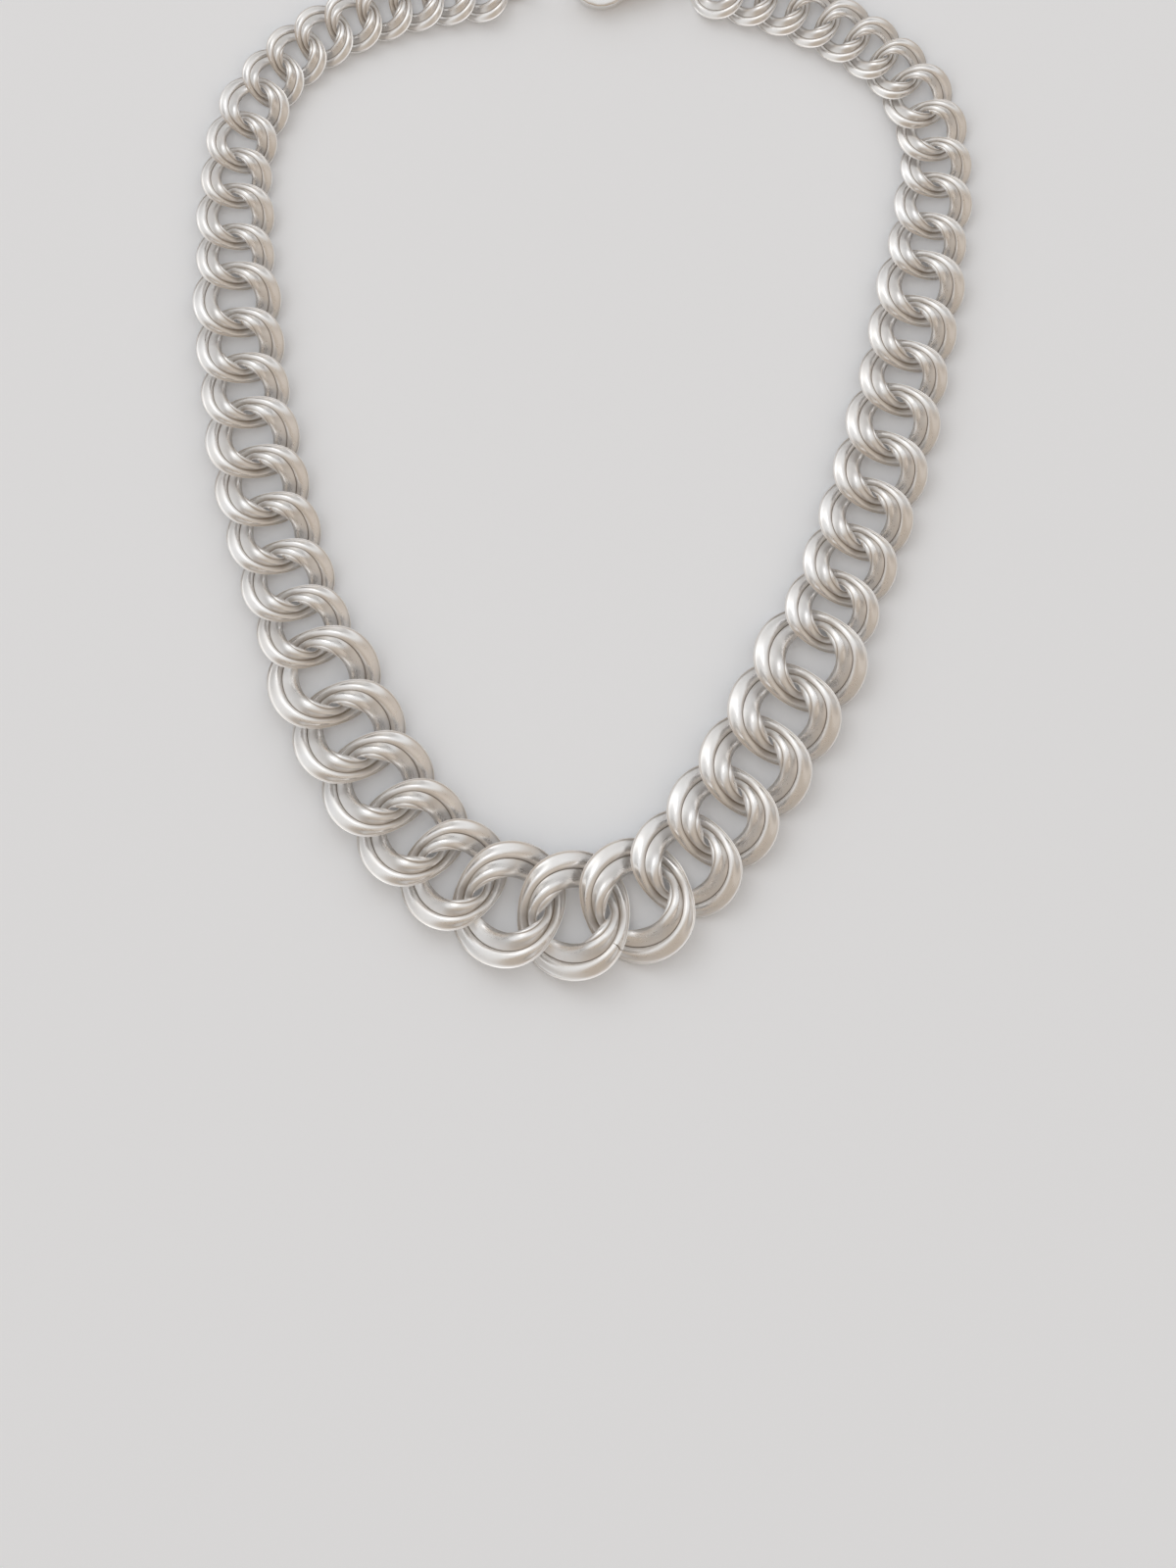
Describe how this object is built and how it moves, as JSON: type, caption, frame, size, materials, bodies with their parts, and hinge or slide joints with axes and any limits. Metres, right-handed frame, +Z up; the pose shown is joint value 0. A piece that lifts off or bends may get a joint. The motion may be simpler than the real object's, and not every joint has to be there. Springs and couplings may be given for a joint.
{
  "type": "chain necklace",
  "caption": "Graduated curb chain necklace of twisted double-rib silver links, widest at the middle, with a lobster clasp, laid flat and unhooked.",
  "frame": {"origin": "on the table, under the middle of the laid-out necklace", "axes": "+Z up off the table, +Y from the biggest link towards the clasp, +X to the right arm as seen from above"},
  "size_m": [0.1294, 0.1714, 0.0076],
  "materials": {
    "link_silver": "satin",
    "clasp_silver": "polished",
    "spring_steel": "satin"
  },
  "bodies": {
    "middle_link": {"link_centre": "link_silver"},
    "right_link_01": {"link_right_01": "link_silver"},
    "right_link_02": {"link_right_02": "link_silver"},
    "right_link_03": {"link_right_03": "link_silver"},
    "right_link_04": {"link_right_04": "link_silver"},
    "right_link_05": {"link_right_05": "link_silver"},
    "right_link_06": {"link_right_06": "link_silver"},
    "right_link_07": {"link_right_07": "link_silver"},
    "right_link_08": {"link_right_08": "link_silver"},
    "right_link_09": {"link_right_09": "link_silver"},
    "right_link_10": {"link_right_10": "link_silver"},
    "right_link_11": {"link_right_11": "link_silver"},
    "right_link_12": {"link_right_12": "link_silver"},
    "right_link_13": {"link_right_13": "link_silver"},
    "right_link_14": {"link_right_14": "link_silver"},
    "right_link_15": {"link_right_15": "link_silver"},
    "right_link_16": {"link_right_16": "link_silver"},
    "right_link_17": {"link_right_17": "link_silver"},
    "right_link_18": {"link_right_18": "link_silver"},
    "right_link_19": {"link_right_19": "link_silver"},
    "right_link_20": {"link_right_20": "link_silver"},
    "right_link_21": {"link_right_21": "link_silver"},
    "right_link_22": {"link_right_22": "link_silver"},
    "right_link_23": {"link_right_23": "link_silver"},
    "right_link_24": {"link_right_24": "link_silver"},
    "right_link_25": {"link_right_25": "link_silver"},
    "right_link_26": {"link_right_26": "link_silver"},
    "left_link_01": {"link_left_01": "link_silver"},
    "left_link_02": {"link_left_02": "link_silver"},
    "left_link_03": {"link_left_03": "link_silver"},
    "left_link_04": {"link_left_04": "link_silver"},
    "left_link_05": {"link_left_05": "link_silver"},
    "left_link_06": {"link_left_06": "link_silver"},
    "left_link_07": {"link_left_07": "link_silver"},
    "left_link_08": {"link_left_08": "link_silver"},
    "left_link_09": {"link_left_09": "link_silver"},
    "left_link_10": {"link_left_10": "link_silver"},
    "left_link_11": {"link_left_11": "link_silver"},
    "left_link_12": {"link_left_12": "link_silver"},
    "left_link_13": {"link_left_13": "link_silver"},
    "left_link_14": {"link_left_14": "link_silver"},
    "left_link_15": {"link_left_15": "link_silver"},
    "left_link_16": {"link_left_16": "link_silver"},
    "left_link_17": {"link_left_17": "link_silver"},
    "left_link_18": {"link_left_18": "link_silver"},
    "left_link_19": {"link_left_19": "link_silver"},
    "left_link_20": {"link_left_20": "link_silver"},
    "left_link_21": {"link_left_21": "link_silver"},
    "left_link_22": {"link_left_22": "link_silver"},
    "left_link_23": {"link_left_23": "link_silver"},
    "left_link_24": {"link_left_24": "link_silver"},
    "left_link_25": {"link_left_25": "link_silver"},
    "left_link_26": {"link_left_26": "link_silver"},
    "left_link_27": {"link_left_27": "link_silver"},
    "jump_ring": {"clasp_jump_ring": "clasp_silver"},
    "claw": {"clasp_claw": "clasp_silver", "clasp_rivet": "clasp_silver", "clasp_spring": "spring_steel"},
    "lever": {"clasp_lever": "clasp_silver"},
    "end_ring": {"clasp_end_ring": "clasp_silver"}
  },
  "joints": [
    {"name": "right_link_01_fold", "type": "hinge", "parent": "middle_link", "child": "right_link_01", "pos_m": [0.00419, -0.07473, 0.00383], "axis": [0.2228, -0.9749, 0], "range_deg": [-15, 15]},
    {"name": "right_link_02_swivel", "type": "hinge", "parent": "right_link_01", "child": "right_link_02", "pos_m": [0.0141, -0.06995, 0.00361], "axis": [0, 0, 1], "range_deg": [-10, 2]},
    {"name": "right_link_03_fold", "type": "hinge", "parent": "right_link_02", "child": "right_link_03", "pos_m": [0.02046, -0.06237, 0.00342], "axis": [0.7934, -0.6087, 0], "range_deg": [-15, 15]},
    {"name": "right_link_04_swivel", "type": "hinge", "parent": "right_link_03", "child": "right_link_04", "pos_m": [0.02614, -0.05425, 0.00342], "axis": [0, 0, 1], "range_deg": [-10, 2]},
    {"name": "right_link_05_fold", "type": "hinge", "parent": "right_link_04", "child": "right_link_05", "pos_m": [0.03121, -0.04575, 0.00342], "axis": [0.8748, -0.4844, 0], "range_deg": [-15, 15]},
    {"name": "right_link_06_swivel", "type": "hinge", "parent": "right_link_05", "child": "right_link_06", "pos_m": [0.03573, -0.03694, 0.00342], "axis": [0, 0, 1], "range_deg": [-10, 2]},
    {"name": "right_link_07_fold", "type": "hinge", "parent": "right_link_06", "child": "right_link_07", "pos_m": [0.03985, -0.02794, 0.00311], "axis": [0.9176, -0.3976, 0], "range_deg": [-15, 15]},
    {"name": "right_link_08_swivel", "type": "hinge", "parent": "right_link_07", "child": "right_link_08", "pos_m": [0.04294, -0.0204, 0.00281], "axis": [0, 0, 1], "range_deg": [-10, 2]},
    {"name": "right_link_09_fold", "type": "hinge", "parent": "right_link_08", "child": "right_link_09", "pos_m": [0.04574, -0.01275, 0.00281], "axis": [0.9449, -0.3273, 0], "range_deg": [-15, 15]},
    {"name": "right_link_10_swivel", "type": "hinge", "parent": "right_link_09", "child": "right_link_10", "pos_m": [0.04827, -0.005, 0.00281], "axis": [0, 0, 1], "range_deg": [-10, 2]},
    {"name": "right_link_11_fold", "type": "hinge", "parent": "right_link_10", "child": "right_link_11", "pos_m": [0.05051, 0.00284, 0.00281], "axis": [0.9664, -0.2571, 0], "range_deg": [-15, 15]},
    {"name": "right_link_12_swivel", "type": "hinge", "parent": "right_link_11", "child": "right_link_12", "pos_m": [0.05246, 0.01075, 0.00272], "axis": [0, 0, 1], "range_deg": [-10, 2]},
    {"name": "right_link_13_fold", "type": "hinge", "parent": "right_link_12", "child": "right_link_13", "pos_m": [0.05402, 0.01819, 0.00262], "axis": [0.9805, -0.1965, 0], "range_deg": [-15, 15]},
    {"name": "right_link_14_swivel", "type": "hinge", "parent": "right_link_13", "child": "right_link_14", "pos_m": [0.05545, 0.02565, 0.00262], "axis": [0, 0, 1], "range_deg": [-10, 2]},
    {"name": "right_link_15_fold", "type": "hinge", "parent": "right_link_14", "child": "right_link_15", "pos_m": [0.05672, 0.03315, 0.00247], "axis": [0.9873, -0.1587, 0], "range_deg": [-15, 15]},
    {"name": "right_link_16_swivel", "type": "hinge", "parent": "right_link_15", "child": "right_link_16", "pos_m": [0.05772, 0.03977, 0.00231], "axis": [0, 0, 1], "range_deg": [-10, 2]},
    {"name": "right_link_17_fold", "type": "hinge", "parent": "right_link_16", "child": "right_link_17", "pos_m": [0.05861, 0.04641, 0.00221], "axis": [0.997, -0.0777, 0], "range_deg": [-15, 15]},
    {"name": "right_link_18_swivel", "type": "hinge", "parent": "right_link_17", "child": "right_link_18", "pos_m": [0.05875, 0.05251, 0.0021], "axis": [0, 0, 1], "range_deg": [-10, 2]},
    {"name": "right_link_19_fold", "type": "hinge", "parent": "right_link_18", "child": "right_link_19", "pos_m": [0.05722, 0.05842, 0.0021], "axis": [0.9248, 0.3805, 0], "range_deg": [-15, 15]},
    {"name": "right_link_20_swivel", "type": "hinge", "parent": "right_link_19", "child": "right_link_20", "pos_m": [0.05415, 0.06369, 0.002], "axis": [0, 0, 1], "range_deg": [-10, 2]},
    {"name": "right_link_21_fold", "type": "hinge", "parent": "right_link_20", "child": "right_link_21", "pos_m": [0.05024, 0.06756, 0.0019], "axis": [0.6313, 0.7756, 0], "range_deg": [-15, 15]},
    {"name": "right_link_22_swivel", "type": "hinge", "parent": "right_link_21", "child": "right_link_22", "pos_m": [0.04566, 0.0706, 0.0019], "axis": [0, 0, 1], "range_deg": [-10, 2]},
    {"name": "right_link_23_fold", "type": "hinge", "parent": "right_link_22", "child": "right_link_23", "pos_m": [0.04084, 0.07325, 0.0019], "axis": [0.4464, 0.8948, 0], "range_deg": [-15, 15]},
    {"name": "right_link_24_swivel", "type": "hinge", "parent": "right_link_23", "child": "right_link_24", "pos_m": [0.03583, 0.0755, 0.0019], "axis": [0, 0, 1], "range_deg": [-10, 2]},
    {"name": "right_link_25_fold", "type": "hinge", "parent": "right_link_24", "child": "right_link_25", "pos_m": [0.03064, 0.07734, 0.0019], "axis": [0.295, 0.9555, 0], "range_deg": [-15, 15]},
    {"name": "right_link_26_swivel", "type": "hinge", "parent": "right_link_25", "child": "right_link_26", "pos_m": [0.02532, 0.07874, 0.0019], "axis": [0, 0, 1], "range_deg": [-10, 2]},
    {"name": "left_link_01_fold", "type": "hinge", "parent": "middle_link", "child": "left_link_01", "pos_m": [-0.00701, -0.07473, 0.00383], "axis": [-0.1721, -0.9851, 0], "range_deg": [-15, 15]},
    {"name": "left_link_02_swivel", "type": "hinge", "parent": "left_link_01", "child": "left_link_02", "pos_m": [-0.01736, -0.071, 0.00361], "axis": [0, 0, -1], "range_deg": [-10, 2]},
    {"name": "left_link_03_fold", "type": "hinge", "parent": "left_link_02", "child": "left_link_03", "pos_m": [-0.02511, -0.06484, 0.00342], "axis": [-0.71, -0.7042, 0], "range_deg": [-15, 15]},
    {"name": "left_link_04_swivel", "type": "hinge", "parent": "left_link_03", "child": "left_link_04", "pos_m": [-0.0312, -0.05704, 0.00342], "axis": [0, 0, -1], "range_deg": [-10, 2]},
    {"name": "left_link_05_fold", "type": "hinge", "parent": "left_link_04", "child": "left_link_05", "pos_m": [-0.03648, -0.04866, 0.00342], "axis": [-0.8718, -0.4899, 0], "range_deg": [-15, 15]},
    {"name": "left_link_06_swivel", "type": "hinge", "parent": "left_link_05", "child": "left_link_06", "pos_m": [-0.04089, -0.0398, 0.00342], "axis": [0, 0, -1], "range_deg": [-10, 2]},
    {"name": "left_link_07_fold", "type": "hinge", "parent": "left_link_06", "child": "left_link_07", "pos_m": [-0.04478, -0.03069, 0.00311], "axis": [-0.9293, -0.3694, 0], "range_deg": [-15, 15]},
    {"name": "left_link_08_swivel", "type": "hinge", "parent": "left_link_07", "child": "left_link_08", "pos_m": [-0.0476, -0.02305, 0.00281], "axis": [0, 0, -1], "range_deg": [-10, 2]},
    {"name": "left_link_09_fold", "type": "hinge", "parent": "left_link_08", "child": "left_link_09", "pos_m": [-0.05007, -0.01528, 0.00281], "axis": [-0.9594, -0.282, 0], "range_deg": [-15, 15]},
    {"name": "left_link_10_swivel", "type": "hinge", "parent": "left_link_09", "child": "left_link_10", "pos_m": [-0.05219, -0.00741, 0.00281], "axis": [0, 0, -1], "range_deg": [-10, 2]},
    {"name": "left_link_11_fold", "type": "hinge", "parent": "left_link_10", "child": "left_link_11", "pos_m": [-0.05396, 0.00054, 0.00281], "axis": [-0.9809, -0.1945, 0], "range_deg": [-15, 15]},
    {"name": "left_link_12_swivel", "type": "hinge", "parent": "left_link_11", "child": "left_link_12", "pos_m": [-0.05536, 0.00857, 0.00272], "axis": [0, 0, -1], "range_deg": [-10, 2]},
    {"name": "left_link_13_fold", "type": "hinge", "parent": "left_link_12", "child": "left_link_13", "pos_m": [-0.05635, 0.01611, 0.00262], "axis": [-0.9939, -0.1102, 0], "range_deg": [-15, 15]},
    {"name": "left_link_14_swivel", "type": "hinge", "parent": "left_link_13", "child": "left_link_14", "pos_m": [-0.05704, 0.02368, 0.00262], "axis": [0, 0, -1], "range_deg": [-10, 2]},
    {"name": "left_link_15_fold", "type": "hinge", "parent": "left_link_14", "child": "left_link_15", "pos_m": [-0.05744, 0.03127, 0.00247], "axis": [-0.9994, -0.0353, 0], "range_deg": [-15, 15]},
    {"name": "left_link_16_swivel", "type": "hinge", "parent": "left_link_15", "child": "left_link_16", "pos_m": [-0.05756, 0.03796, 0.00231], "axis": [0, 0, -1], "range_deg": [-10, 2]},
    {"name": "left_link_17_fold", "type": "hinge", "parent": "left_link_16", "child": "left_link_17", "pos_m": [-0.05745, 0.04466, 0.00221], "axis": [-0.9995, 0.0319, 0], "range_deg": [-15, 15]},
    {"name": "left_link_18_swivel", "type": "hinge", "parent": "left_link_17", "child": "left_link_18", "pos_m": [-0.05716, 0.05076, 0.0021], "axis": [0, 0, -1], "range_deg": [-10, 2]},
    {"name": "left_link_19_fold", "type": "hinge", "parent": "left_link_18", "child": "left_link_19", "pos_m": [-0.05569, 0.05668, 0.0021], "axis": [-0.9371, 0.3491, 0], "range_deg": [-15, 15]},
    {"name": "left_link_20_swivel", "type": "hinge", "parent": "left_link_19", "child": "left_link_20", "pos_m": [-0.05293, 0.06212, 0.002], "axis": [0, 0, -1], "range_deg": [-10, 2]},
    {"name": "left_link_21_fold", "type": "hinge", "parent": "left_link_20", "child": "left_link_21", "pos_m": [-0.04945, 0.06638, 0.0019], "axis": [-0.7074, 0.7068, 0], "range_deg": [-15, 15]},
    {"name": "left_link_22_swivel", "type": "hinge", "parent": "left_link_21", "child": "left_link_22", "pos_m": [-0.04519, 0.06986, 0.0019], "axis": [0, 0, -1], "range_deg": [-10, 2]},
    {"name": "left_link_23_fold", "type": "hinge", "parent": "left_link_22", "child": "left_link_23", "pos_m": [-0.04043, 0.0726, 0.0019], "axis": [-0.4564, 0.8898, 0], "range_deg": [-15, 15]},
    {"name": "left_link_24_swivel", "type": "hinge", "parent": "left_link_23", "child": "left_link_24", "pos_m": [-0.03542, 0.07487, 0.0019], "axis": [0, 0, -1], "range_deg": [-10, 2]},
    {"name": "left_link_25_fold", "type": "hinge", "parent": "left_link_24", "child": "left_link_25", "pos_m": [-0.03021, 0.07666, 0.0019], "axis": [-0.2783, 0.9605, 0], "range_deg": [-15, 15]},
    {"name": "left_link_26_swivel", "type": "hinge", "parent": "left_link_25", "child": "left_link_26", "pos_m": [-0.02486, 0.07793, 0.0019], "axis": [0, 0, -1], "range_deg": [-10, 2]},
    {"name": "left_link_27_fold", "type": "hinge", "parent": "left_link_26", "child": "left_link_27", "pos_m": [-0.01942, 0.07869, 0.0019], "axis": [-0.0899, 0.9959, 0], "range_deg": [-15, 15]},
    {"name": "jump_ring_swing", "type": "hinge", "parent": "right_link_26", "child": "jump_ring", "pos_m": [0.01902, 0.07987, 0.0019], "axis": [0.176, 0.9844, 0], "range_deg": [-10, 10]},
    {"name": "claw_swing", "type": "hinge", "parent": "jump_ring", "child": "claw", "pos_m": [0.01452, 0.08073, 0.0018], "axis": [-0.0383, 0.9993, 0], "range_deg": [-8, 5]},
    {"name": "lever_pivot", "type": "hinge", "parent": "claw", "child": "lever", "pos_m": [0.00932, 0.08199, 0.0018], "axis": [0, 0, 1], "range_deg": [0, 25], "stiffness_Nm_per_rad": 0.002, "springref_deg": -20.05},
    {"name": "end_ring_swing", "type": "hinge", "parent": "left_link_27", "child": "end_ring", "pos_m": [-0.01302, 0.07896, 0.0019], "axis": [0.042, -0.9991, 0], "range_deg": [-10, 10]}
  ]
}
